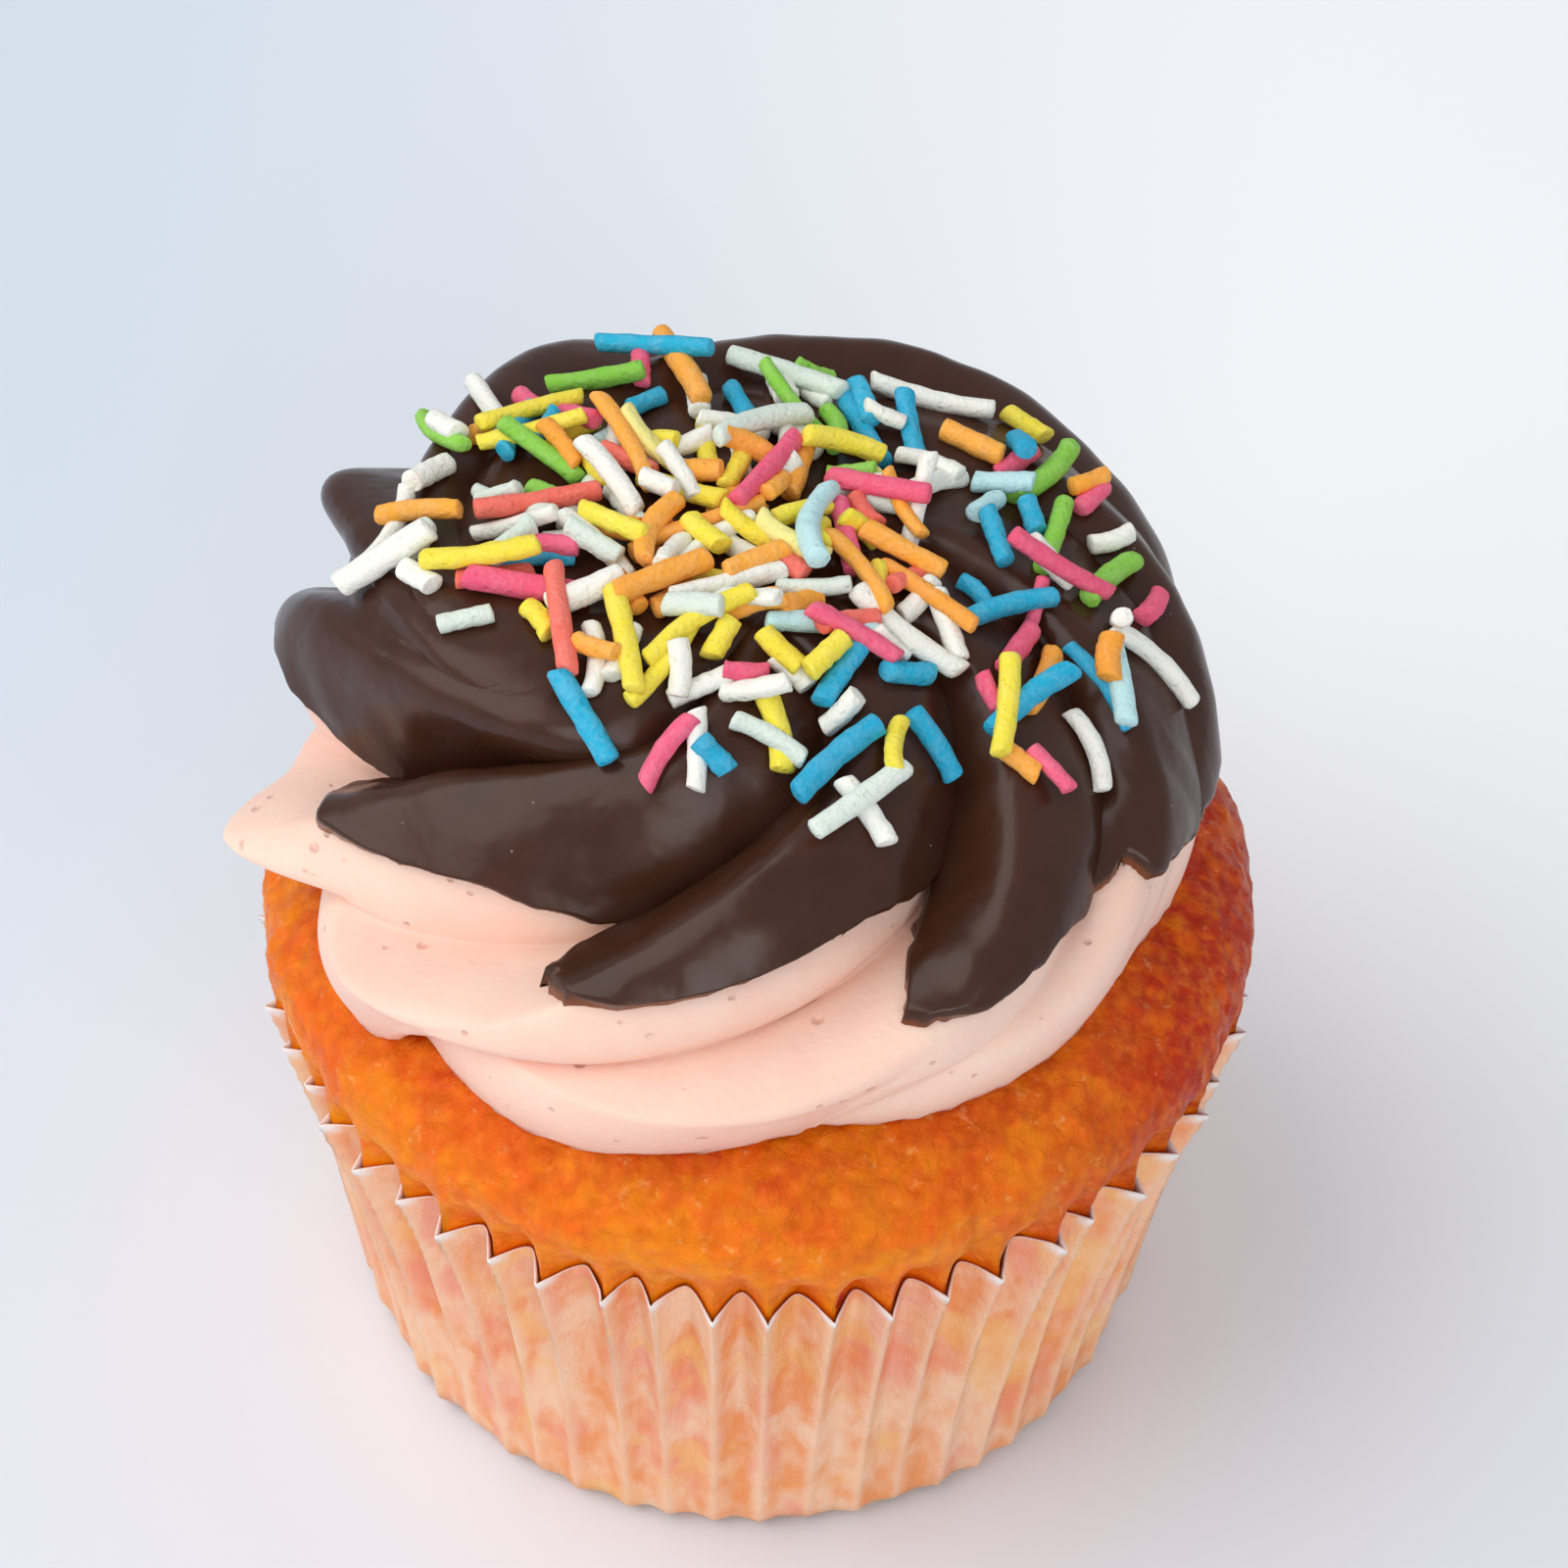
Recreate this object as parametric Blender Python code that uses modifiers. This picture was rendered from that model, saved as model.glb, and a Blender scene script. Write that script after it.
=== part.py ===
"""A cupcake: a pleated paper case, the sponge baked in it, a piped buttercream swirl on
top, and the chocolate coat that the swirl was dipped in.

Units are metres, +Z is up, and the origin is the middle of the case's underside.
Angles are in degrees, counted anticlockwise from +X as seen from above. The front is -Y.
"""

import math

import bmesh
import bpy
from mathutils import Vector

MM = 0.001
GAP = 0.3 * MM  # clearance between neighbouring pieces

# Paper case
BASE_RADIUS = 25.4 * MM
RIM_RADIUS = 31.3 * MM
RIM_FLARE = 2.0 * MM  # how far the rim leans out past a straight wall
CASE_HEIGHT = 28.4 * MM
PAPER = 0.35 * MM
PLEATS = 54
PLEAT_DEPTH = 1.3 * MM  # fold height at the rim
FOOT_PLEAT_DEPTH = 0.5 * MM  # fold height where the wall meets the flat foot
WALL_BANDS = 3

# Sponge
CROWN_RADIUS = 30.9 * MM
CROWN_WIDEST = 31.6 * MM  # height of the crown's widest ring
CROWN_TOP = 40.2 * MM
CROWN_SQUARENESS = 2.6  # 2 would be an ellipse, and more is flatter with a tighter shoulder
SPONGE_STEPS = 60
DOME_RINGS = 8
WALL_SHARES = (1.0, 0.66, 0.33, 0.0)  # rings down the side, as shares of the case's height

# Buttercream swirl
SWIRL_WIDEST = 42.0 * MM  # height of its widest ring
SWIRL_TOP = 56.5 * MM
SWIRL_UNDERCUT = 0.9 * MM  # how far the foot lies inside the widest ring
FOOT_LIMIT = 28.4 * MM  # the foot stays inside this radius, on the flat of the crown
FOOT_RISE = -0.25  # the foot, on a scale of 0 at the widest ring to 1 at the top
FOOT_ROWS = 3
SIDE_ROWS = 14
SOLE_SHARES = (0.35, 0.62, 0.82, 0.93)  # rings of the underside, as shares of the foot's radius
COLUMNS = (0.0, 0.3, 0.65, 1.0, 1.45, 1.8, 1.94)  # from each crest, at 0, to the next, at 2

# The ridges of the swirl, anticlockwise. Each one's crest leans anticlockwise as it rises
# from its bearing at the widest ring, then curls in to the middle. reach is the radius of
# the crest at the widest ring. slope shapes the way up from there: 1 is a quarter ellipse,
# less is a square shoulder and more is a ramp. The crease behind the crest lies low_crease
# of the way to the next crest at the foot and high_crease from mid-height up, and a lag
# above 1 holds it low for longer. It is sunk by depth, or by foot_depth at the widest ring.
# belly is how far the foot bulges between this crease and the next crest. The crease has
# flattened out by the rise fade. horn is how far a drawn-out tip sticks out at the height
# horn_z. dips is how low the chocolate reaches at the crest, halfway down the broad face
# behind it, in the crease and halfway up the steep face to the next crest.
RIDGES = (
    dict(bearing=190, lean=22, curl=170, reach=28.8, slope=1.35, low_crease=0.10, high_crease=0.84,
         lag=1.0, depth=6.5, foot_depth=2.0, belly=1.9, fade=1.0, horn=4.2, horn_z=41.8,
         dips=(44.9, 47.0, 45.8, 45.4)),
    dict(bearing=225, lean=64, curl=160, reach=28.6, slope=1.35, low_crease=0.05, high_crease=0.90,
         lag=1.8, depth=6.0, foot_depth=1.8, belly=2.0, fade=0.95, horn=0.0, horn_z=42.5,
         dips=(46.6, 48.7, 47.0, 45.2)),
    dict(bearing=285, lean=78, curl=130, reach=25.6, slope=1.2, low_crease=0.05, high_crease=0.93,
         lag=1.3, depth=3.2, foot_depth=0.4, belly=0.8, fade=1.0, horn=0.0, horn_z=42.5,
         dips=(45.0, 45.6, 45.4, 46.2)),
    dict(bearing=334, lean=52, curl=150, reach=25.4, slope=0.9, low_crease=0.20, high_crease=0.80,
         lag=1.0, depth=2.0, foot_depth=0.3, belly=0.3, fade=1.0, horn=0.0, horn_z=42.5,
         dips=(44.9, 43.8, 43.2, 43.0)),
    dict(bearing=370, lean=60, curl=150, reach=26.9, slope=0.6, low_crease=0.20, high_crease=0.75,
         lag=1.0, depth=2.2, foot_depth=0.6, belly=0.6, fade=1.0, horn=0.0, horn_z=42.5,
         dips=(42.4, 42.6, 43.4, 43.4)),
    dict(bearing=405, lean=60, curl=150, reach=29.6, slope=0.43, low_crease=0.20, high_crease=0.75,
         lag=1.0, depth=3.0, foot_depth=1.5, belly=1.0, fade=1.0, horn=0.0, horn_z=42.5,
         dips=(42.5, 43.0, 44.6, 44.6)),
    dict(bearing=457, lean=58, curl=150, reach=30.2, slope=0.5, low_crease=0.20, high_crease=0.75,
         lag=1.0, depth=3.0, foot_depth=1.5, belly=1.0, fade=0.6, horn=1.9, horn_z=52.0,
         dips=(43.5, 44.0, 46.2, 46.2)),
    dict(bearing=500, lean=30, curl=125, reach=29.4, slope=0.6, low_crease=0.20, high_crease=0.75,
         lag=1.0, depth=4.0, foot_depth=1.5, belly=1.0, fade=0.5, horn=3.4, horn_z=51.0,
         dips=(45.5, 46.5, 47.5, 47.0)),
    dict(bearing=519, lean=24, curl=130, reach=31.1, slope=0.85, low_crease=0.20, high_crease=0.85,
         lag=1.0, depth=7.0, foot_depth=2.5, belly=0.6, fade=1.0, horn=0.0, horn_z=42.5,
         dips=(45.5, 45.4, 44.3, 44.4)),
)
CURL_END = 0.7  # above this rise the crests run straight in to the middle
CURL_POWER = 4
CREASE_SWING = 0.65  # the creases swing from low_crease to high_crease over this much rise
SIDE_RISE = 0.3  # the foot's bellies and foot_depth have given way to the side by here
FADE_START = 0.4  # the creases begin to flatten out at this share of their fade
BROAD_FALL = 1.6  # powers that shape the fall to a crease, on the broad face before it
STEEP_FALL = 1.2  # and on the steep face behind it
HORN_SPREAD = 2.2 * MM  # up and down from horn_z
HORN_SHARE = 0.35  # and this share of the way to the next crest
HORN_BREADTH = 12 * MM  # a skin over the horn is broader by its growth over this

# Chocolate coat
DIP_RIPPLE = 0.25 * MM
COAT = 1.0 * MM
COAT_CLEARANCE = 0.4 * MM
INNER_FILL = 0.12  # share of each crease's depth that the coat's inside leaves unfollowed
OUTER_FILL = 0.20
SIDEWAYS = 0.8  # how far a skin moves sideways on the steep faces, as a share of its growth
SIDEWAYS_COLUMN = 0.3  # on the broad face the sideways move fades out up to this column
SIDEWAYS_FADE = 0.4  # from this rise up it fades out too
COAT_JOIN_ROW = 8  # the row of the swirl from which up the coat shares its rows
COAT_LOW_ROWS = 6

PAPER_COLOUR = (0.90, 0.55, 0.36)
SPONGE_COLOUR = (0.86, 0.30, 0.03)
CREAM_COLOUR = (0.93, 0.66, 0.57)
CHOCOLATE_COLOUR = (0.050, 0.026, 0.018)


def clear_scene():
    for old in list(bpy.data.objects):
        bpy.data.objects.remove(old)


def finish_material(name, colour, roughness):
    material = bpy.data.materials.new(name)
    material.use_nodes = True
    shader = material.node_tree.nodes["Principled BSDF"]
    shader.inputs["Base Color"].default_value = (*colour, 1.0)
    shader.inputs["Roughness"].default_value = roughness
    shader.inputs["Metallic"].default_value = 0.0
    return material


def add_object(name, mesh, collection, material, sharp_angle):
    """Puts a mesh into the scene as one named, smooth-shaded sub-part."""
    mesh.shade_smooth()
    mesh.set_sharp_from_angle(angle=math.radians(sharp_angle))
    mesh.materials.append(material)
    obj = bpy.data.objects.new(name, mesh)
    collection.objects.link(obj)
    return obj


def ease(x):
    """0 to 1 with level ends."""
    x = min(1.0, max(0.0, x))
    return x * x * (3 - 2 * x)


def fold_radius(share):
    """Radius of the case's outward folds, share of the way from the foot to the rim."""
    return BASE_RADIUS + (RIM_RADIUS - RIM_FLARE - BASE_RADIUS) * share + RIM_FLARE * share**3


def fold_depth(share):
    return FOOT_PLEAT_DEPTH + (PLEAT_DEPTH - FOOT_PLEAT_DEPTH) * share


def crown_height(radius):
    """Height of the sponge's domed top at this radius."""
    inside = max(0.0, 1 - (radius / CROWN_RADIUS) ** CROWN_SQUARENESS)
    return CROWN_WIDEST + (CROWN_TOP - CROWN_WIDEST) * inside ** (1 / CROWN_SQUARENESS)


def make_case(collection):
    """The pleated paper cup: an open cone, folded in and out, with a flat foot."""
    bm = bmesh.new()
    bmesh.ops.create_cone(
        bm, cap_ends=True, segments=3 * PLEATS, radius1=BASE_RADIUS, radius2=RIM_RADIUS, depth=CASE_HEIGHT
    )
    lid = max(bm.faces, key=lambda f: f.calc_center_median().z)
    bmesh.ops.delete(bm, geom=[lid], context="FACES_ONLY")
    upright = [e for e in bm.edges if abs(e.verts[0].co.z - e.verts[1].co.z) > CASE_HEIGHT / 2]
    bmesh.ops.subdivide_edges(bm, edges=upright, cuts=WALL_BANDS - 1, use_grid_fill=True)
    for v in bm.verts:
        share = v.co.z / CASE_HEIGHT + 0.5
        bearing = math.atan2(v.co.y, v.co.x)
        # Every third corner is a fold that points out; the two between them lie on the sponge.
        fold = round(bearing / (2 * math.pi) * 3 * PLEATS) % 3 == 0
        radius = fold_radius(share) - (0 if fold else fold_depth(share))
        v.co = (radius * math.cos(bearing), radius * math.sin(bearing), share * CASE_HEIGHT)
    foot = min(bm.faces, key=lambda f: f.calc_center_median().z)
    bmesh.ops.poke(bm, faces=[foot])
    bmesh.ops.recalc_face_normals(bm, faces=bm.faces[:])
    mesh = bpy.data.meshes.new("paper_case")
    bm.to_mesh(mesh)
    bm.free()
    paper = finish_material("greaseproof_paper", PAPER_COLOUR, 0.55)
    case = add_object("paper_case", mesh, collection, paper, 25)
    skin = case.modifiers.new("Paper", "SOLIDIFY")
    skin.thickness = PAPER
    skin.offset = -1
    return case


def sponge_profile():
    """The sponge's outline from the top of its axis to the foot, as (radius, height)."""
    clearance = PAPER + 2 * GAP
    points = []
    for i in range(DOME_RINGS + 1):
        turn = math.radians(90) * i / DOME_RINGS
        radius = CROWN_RADIUS * math.sin(turn) ** (2 / CROWN_SQUARENESS)
        points.append((radius, crown_height(radius)))
    # Below the crown the sponge tucks in to the case's inner folds, and follows them down.
    for share in WALL_SHARES:
        radius = fold_radius(share) - fold_depth(share) - clearance
        points.append((radius, max(share * CASE_HEIGHT, PAPER + GAP)))
    points.append((0.0, PAPER + GAP))
    return points


def make_sponge(collection):
    """The cake itself, turned about the vertical axis."""
    profile = sponge_profile()
    mesh = bpy.data.meshes.new("sponge")
    mesh.from_pydata(
        [(radius, 0.0, height) for radius, height in profile],
        [(i, i + 1) for i in range(len(profile) - 1)],
        [],
    )
    sponge = bpy.data.objects.new("sponge", mesh)
    sponge.data.materials.append(finish_material("orange_sponge", SPONGE_COLOUR, 0.5))
    collection.objects.link(sponge)
    turn = sponge.modifiers.new("Turn", "SCREW")
    turn.steps = turn.render_steps = SPONGE_STEPS
    turn.use_merge_vertices = True
    turn.merge_threshold = 0.05 * MM
    turn.use_smooth_shade = True
    return sponge


def ridge_at(index):
    return RIDGES[index % len(RIDGES)]


def between(index, key, share):
    """A ridge value on the way from one crest to the next."""
    return ridge_at(index)[key] + (ridge_at(index + 1)[key] - ridge_at(index)[key]) * ease(share)


def crest_bearing(index, rise):
    ridge = ridge_at(index)
    turns = index // len(RIDGES)
    lean = ridge["lean"] * (rise if rise > 0 else rise / 2)
    return ridge["bearing"] + 360 * turns + lean + ridge["curl"] * min(rise, CURL_END) ** CURL_POWER


def crease_share(index, rise):
    """How far the crease lies from its own crest towards the next one."""
    ridge = ridge_at(index)
    climb = ease((rise - FOOT_RISE) / CREASE_SWING) ** ridge["lag"]
    return ridge["low_crease"] + (ridge["high_crease"] - ridge["low_crease"]) * climb


def share_along(index, along, rise):
    """How far a column lies from its crest towards the next crest."""
    crease = crease_share(index, rise)
    return crease * along if along < 1 else crease + (1 - crease) * (along - 1)


def crease_depth(index, rise):
    ridge = ridge_at(index)
    depth = ridge["foot_depth"] + (ridge["depth"] - ridge["foot_depth"]) * ease(rise / SIDE_RISE)
    start = FADE_START * ridge["fade"]
    return depth * (1 - ease((rise - start) / (ridge["fade"] - start))) * MM


def swirl_point(index, along, rise, grow=0.0, fill=0.0):
    """A point of the swirl. along is 0 at a crest, 1 at its crease and 2 at the next crest,
    and rise is FOOT_RISE at the foot, 0 at the widest ring and 1 at the top. grow moves it
    out, for a skin over the swirl, and fill is the share of a crease's depth filled up."""
    share = share_along(index, along, rise)
    fall = along**BROAD_FALL if along < 1 else (2 - along) ** STEEP_FALL
    start, end = crest_bearing(index, rise), crest_bearing(index + 1, rise)
    bearing = math.radians(start + (end - start) * share)
    slope = between(index, "slope", share)
    tilt = math.radians(90) * max(0.0, rise)
    sink = max(0.0, rise / FOOT_RISE)
    reach = between(index, "reach", share) * MM
    if along > 1:
        bulge = math.sin(math.pi * (along - 1)) * (1 - ease(rise / SIDE_RISE))
        reach += ridge_at(index)["belly"] * MM * bulge
    undercut = max(SWIRL_UNDERCUT, reach - FOOT_LIMIT)
    radius = reach * math.cos(tilt) ** slope - undercut * sink**2
    height = SWIRL_WIDEST + (SWIRL_TOP - SWIRL_WIDEST) * math.sin(tilt) ** slope
    # The crease is sunk square to the surface: sideways on the side, downwards on the top.
    depth = crease_depth(index, rise) * fall * (1 - fill) - grow
    radius = max(0.0, radius - depth * math.cos(tilt))
    height += (crown_height(radius) + GAP - SWIRL_WIDEST) * sink - depth * math.sin(tilt)
    # On the steep faces a skin also needs to move sideways, clockwise, to stay clear.
    if radius > 0:
        sideways = ease(along - 1) if along > 1 else 1 - ease(along / SIDEWAYS_COLUMN)
        sideways *= 1 - ease((rise - SIDEWAYS_FADE) / SIDEWAYS_FADE)
        bearing -= grow * SIDEWAYS * sideways / radius
    # A horn draws the crest out into a tip.
    for ridge, near in ((ridge_at(index), share), (ridge_at(index + 1), 1 - share)):
        lift = max(0.0, abs(height - ridge["horn_z"] * MM) - grow) / HORN_SPREAD
        away = ease((near - grow / HORN_BREADTH) / HORN_SHARE)
        radius += ridge["horn"] * MM * math.exp(-(lift**2)) * (1 - away) * (1 - sink)
    return Vector((radius * math.cos(bearing), radius * math.sin(bearing), height))


def swirl_columns():
    """The column lines of the swirl, from each crest to its crease and to the next crest."""
    return [(index, along) for index in range(len(RIDGES)) for along in COLUMNS]


def swirl_rows():
    """Rings of points from the foot up the side and over the top, without the pole."""
    rises = [FOOT_RISE * (1 - row / FOOT_ROWS) for row in range(FOOT_ROWS)]
    rises += [row / SIDE_ROWS for row in range(SIDE_ROWS)]
    return [[swirl_point(index, along, rise) for index, along in swirl_columns()] for rise in rises]


def bridge(bm, rows):
    """Faces between neighbouring rings of vertices, each ring closed on itself."""
    count = len(rows[0])
    for lower, upper in zip(rows, rows[1:]):
        for i in range(count):
            j = (i + 1) % count
            bm.faces.new((lower[i], lower[j], upper[j], upper[i]))


def fan(bm, ring, tip):
    """Faces from a ring of vertices to the pole that closes it."""
    for i in range(len(ring)):
        bm.faces.new((ring[i], ring[(i + 1) % len(ring)], tip))


def folded_mesh(name, bm):
    """The finished mesh, its skewed faces split along their shorter diagonals."""
    bmesh.ops.triangulate(bm, faces=bm.faces[:], quad_method="SHORT_EDGE")
    mesh = bpy.data.meshes.new(name)
    bm.to_mesh(mesh)
    bm.free()
    return mesh


def make_swirl(collection):
    """The buttercream: ridged sides and top, and a sole that lies on the crown."""
    bm = bmesh.new()
    side = swirl_rows()
    sole = []
    for share in SOLE_SHARES:
        ring = [Vector((p.x, p.y, 0)) * share for p in side[0]]
        sole.append([Vector((p.x, p.y, crown_height(p.length) + GAP)) for p in ring])
    rows = [[bm.verts.new(p) for p in ring] for ring in sole + side]
    bridge(bm, rows)
    fan(bm, rows[-1], bm.verts.new((0, 0, SWIRL_TOP)))
    fan(bm, rows[0][::-1], bm.verts.new((0, 0, CROWN_TOP + GAP)))
    mesh = folded_mesh("buttercream_swirl", bm)
    cream = finish_material("pink_buttercream", CREAM_COLOUR, 0.45)
    return add_object("buttercream_swirl", mesh, collection, cream, 35)


def dip_level(index, along):
    """Height of the dip line, eased from one of a ridge's dips to the next."""
    stop = int(along * 2)
    dips = [*ridge_at(index)["dips"], ridge_at(index + 1)["dips"][0]]
    return (dips[stop] + (dips[stop + 1] - dips[stop]) * ease(along * 2 - stop)) * MM


def dip_rise(index, along):
    """How far up a column of the swirl the chocolate starts."""
    low, high = FOOT_RISE, 1.0
    for _ in range(24):
        rise = (low + high) / 2
        point = swirl_point(index, along, rise)
        bearing = math.atan2(point.y, point.x)
        level = dip_level(index, along) + DIP_RIPPLE * math.sin(5 * bearing + 1)
        low, high = (rise, high) if point.z < level else (low, rise)
    return high


def coat_rises(start):
    """Rises of the coat's rows on a column. The lower ones close up to the dip line from the
    join, and the upper ones are the swirl's own."""
    join = COAT_JOIN_ROW / SIDE_ROWS
    low = [start + (join - start) * row / COAT_LOW_ROWS for row in range(COAT_LOW_ROWS)]
    return low + [row / SIDE_ROWS for row in range(COAT_JOIN_ROW, SIDE_ROWS)]


def coat_rows(grow, edge_grow, fill):
    """One side of the coat, as rings from the dip line up."""
    columns = swirl_columns()
    ladders = [coat_rises(dip_rise(index, along)) for index, along in columns]
    return [
        [
            swirl_point(index, along, ladder[row], edge_grow if row == 0 else grow, fill)
            for (index, along), ladder in zip(columns, ladders)
        ]
        for row in range(len(ladders[0]))
    ]


def make_coat(collection):
    """The chocolate: a skin over all of the swirl that lies above the dip line."""
    bm = bmesh.new()
    inner = coat_rows(COAT_CLEARANCE, COAT_CLEARANCE, INNER_FILL)
    outer = coat_rows(COAT_CLEARANCE + COAT, COAT_CLEARANCE + COAT / 2, OUTER_FILL)
    rows = [[bm.verts.new(p) for p in ring] for ring in inner[::-1] + outer]
    bridge(bm, rows)
    fan(bm, rows[0][::-1], bm.verts.new((0, 0, SWIRL_TOP + COAT_CLEARANCE)))
    fan(bm, rows[-1], bm.verts.new((0, 0, SWIRL_TOP + COAT_CLEARANCE + COAT)))
    mesh = folded_mesh("chocolate_coat", bm)
    chocolate = finish_material("dark_chocolate", CHOCOLATE_COLOUR, 0.3)
    return add_object("chocolate_coat", mesh, collection, chocolate, 40)


def main():
    clear_scene()
    collection = bpy.data.collections.new("cupcake")
    bpy.context.scene.collection.children.link(collection)
    make_case(collection)
    make_sponge(collection)
    make_swirl(collection)
    make_coat(collection)


main()
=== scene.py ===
import math

import bpy
import numpy as np
from mathutils import Matrix, Vector, noise
from mathutils.bvhtree import BVHTree


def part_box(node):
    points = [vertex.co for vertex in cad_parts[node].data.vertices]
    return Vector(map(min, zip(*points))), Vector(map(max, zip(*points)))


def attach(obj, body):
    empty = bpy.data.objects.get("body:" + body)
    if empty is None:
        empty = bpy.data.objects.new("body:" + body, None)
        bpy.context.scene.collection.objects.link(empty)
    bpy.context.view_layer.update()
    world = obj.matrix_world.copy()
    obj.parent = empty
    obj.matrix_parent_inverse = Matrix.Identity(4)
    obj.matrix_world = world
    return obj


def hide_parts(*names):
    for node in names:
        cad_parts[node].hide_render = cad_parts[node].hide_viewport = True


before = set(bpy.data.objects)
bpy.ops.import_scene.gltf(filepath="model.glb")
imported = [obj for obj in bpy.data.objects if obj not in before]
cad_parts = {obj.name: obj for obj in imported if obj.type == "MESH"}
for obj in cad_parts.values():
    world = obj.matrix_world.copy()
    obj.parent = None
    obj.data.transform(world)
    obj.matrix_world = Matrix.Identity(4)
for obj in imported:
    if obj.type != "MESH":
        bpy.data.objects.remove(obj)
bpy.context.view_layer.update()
mm = 0.001

caseLow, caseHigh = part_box("paper_case")
spongeLow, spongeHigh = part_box("sponge")
coatLow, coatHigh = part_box("chocolate_coat")
print("frame loaded:", sorted(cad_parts))


# small helpers

def ease(x):
    x = np.clip(x, 0.0, 1.0)
    return x * x * (3 - 2 * x)


def mix(a, b, share):
    return a + (b - a) * share


def noiseAt(points, size, seed=0.0, octaves=2):
    # smooth noise of about -1 to 1 at each point, size is the width of its bumps
    shift = Vector((seed * 7.31, seed * 3.17, seed * 5.73))
    flat = np.asarray(points).reshape(-1, 3) / size
    values = [noise.fractal(Vector(p) + shift, 1.0, 2.0, octaves) for p in flat]
    return np.array(values).reshape(np.asarray(points).shape[:-1])


def gridNormals(grid):
    # grid is rows x columns x 3, closed round its columns, its rows rising up and inwards
    across = np.roll(grid, -1, axis=1) - np.roll(grid, 1, axis=1)
    upwards = np.gradient(grid, axis=0)
    normals = np.cross(across, upwards)
    return normals / np.maximum(np.linalg.norm(normals, axis=-1, keepdims=True), 1e-12)


def smoothGrid(grid, rounds, keepFirst=True):
    grid = grid.copy()
    for _ in range(rounds):
        new = 0.5 * grid + 0.25 * (np.roll(grid, 1, axis=1) + np.roll(grid, -1, axis=1))
        new[1:-1] = 0.6 * new[1:-1] + 0.2 * (new[:-2] + new[2:])
        if keepFirst:
            new[0] = grid[0]
        grid = new
    return grid


def gridFaces(rows, columns, start=0):
    faces = []
    for row in range(rows - 1):
        for column in range(columns):
            a = start + row * columns + column
            b = start + row * columns + (column + 1) % columns
            faces.append((a, b, b + columns, a + columns))
    return faces


def newPiece(name, points, faces, materials, node=None):
    mesh = bpy.data.meshes.new(name)
    mesh.from_pydata([tuple(p) for p in points], [], faces)
    mesh.validate()
    mesh.shade_smooth()
    for material in materials:
        mesh.materials.append(material)
    piece = bpy.data.objects.new(name, mesh)
    bpy.context.scene.collection.objects.link(piece)
    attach(piece, "root")
    if node:
        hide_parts(node)
    return piece


def addMask(piece, name, values):
    # a number for each vertex that a material can read
    layer = piece.data.attributes.new(name, "FLOAT", "POINT")
    layer.data.foreach_set("value", np.asarray(values, dtype=np.float32).ravel())


# shader helpers

def addNode(tree, kind, links=None, values=None, **settings):
    made = tree.nodes.new(kind)
    for key, value in settings.items():
        setattr(made, key, value)
    for key, value in (values or {}).items():
        made.inputs[key].default_value = value
    for key, source in (links or {}).items():
        tree.links.new(source, made.inputs[key])
    return made


def mathNode(tree, operation, a, b=None, clamp=False):
    made = addNode(tree, "ShaderNodeMath", operation=operation, use_clamp=clamp)
    for socket, value in zip(made.inputs, (a, b)):
        if value is None:
            continue
        if isinstance(value, (int, float)):
            socket.default_value = value
        else:
            tree.links.new(value, socket)
    return made.outputs[0]


def mixColour(tree, factor, a, b, blend="MIX"):
    made = addNode(tree, "ShaderNodeMix", data_type="RGBA", blend_type=blend)
    for socket, value in zip((made.inputs[0], made.inputs[6], made.inputs[7]), (factor, a, b)):
        if isinstance(value, (int, float)):
            socket.default_value = value
        elif isinstance(value, tuple):
            socket.default_value = (*value, 1.0)
        else:
            tree.links.new(value, socket)
    return made.outputs[2]


def stretch(tree, value, low, high, toLow=0.0, toHigh=1.0):
    # maps low..high to toLow..toHigh, smooth and clamped
    made = addNode(tree, "ShaderNodeMapRange", interpolation_type="SMOOTHSTEP")
    made.inputs["From Min"].default_value = low
    made.inputs["From Max"].default_value = high
    made.inputs["To Min"].default_value = toLow
    made.inputs["To Max"].default_value = toHigh
    tree.links.new(value, made.inputs["Value"])
    return made.outputs["Result"]


def newGroup(name, inputs, outputs):
    # inputs and outputs are (name, socket type, default) in order
    group = bpy.data.node_groups.new(name, "ShaderNodeTree")
    for label, kind, default in inputs:
        socket = group.interface.new_socket(name=label, in_out="INPUT", socket_type=kind)
        socket.default_value = default
    for label, kind in outputs:
        group.interface.new_socket(name=label, in_out="OUTPUT", socket_type=kind)
    return group, addNode(group, "NodeGroupInput"), addNode(group, "NodeGroupOutput")


def objectPoint(tree):
    return addNode(tree, "ShaderNodeTexCoord").outputs["Object"]


def buildSpeckGroup():
    # small scattered spots: Mask is 1 inside a spot
    group, ins, outs = newGroup(
        "scatteredSpecks",
        [("Point", "NodeSocketVector", (0, 0, 0)), ("Spacing per metre", "NodeSocketFloat", 400.0),
         ("Size", "NodeSocketFloat", 0.2), ("Softness", "NodeSocketFloat", 0.05),
         ("Share", "NodeSocketFloat", 0.5)],
        [("Mask", "NodeSocketFloat")],
    )
    cells = addNode(group, "ShaderNodeTexVoronoi", feature="F1",
                    links={"Vector": ins.outputs["Point"], "Scale": ins.outputs["Spacing per metre"]})
    chosen = addNode(group, "ShaderNodeSeparateColor", links={"Color": cells.outputs["Color"]})
    spot = mathNode(group, "SUBTRACT", ins.outputs["Size"], cells.outputs["Distance"])
    spot = mathNode(group, "DIVIDE", spot, ins.outputs["Softness"], clamp=True)
    kept = mathNode(group, "LESS_THAN", chosen.outputs[0], ins.outputs["Share"])
    group.links.new(mathNode(group, "MULTIPLY", spot, kept), outs.inputs["Mask"])
    return group


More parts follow.
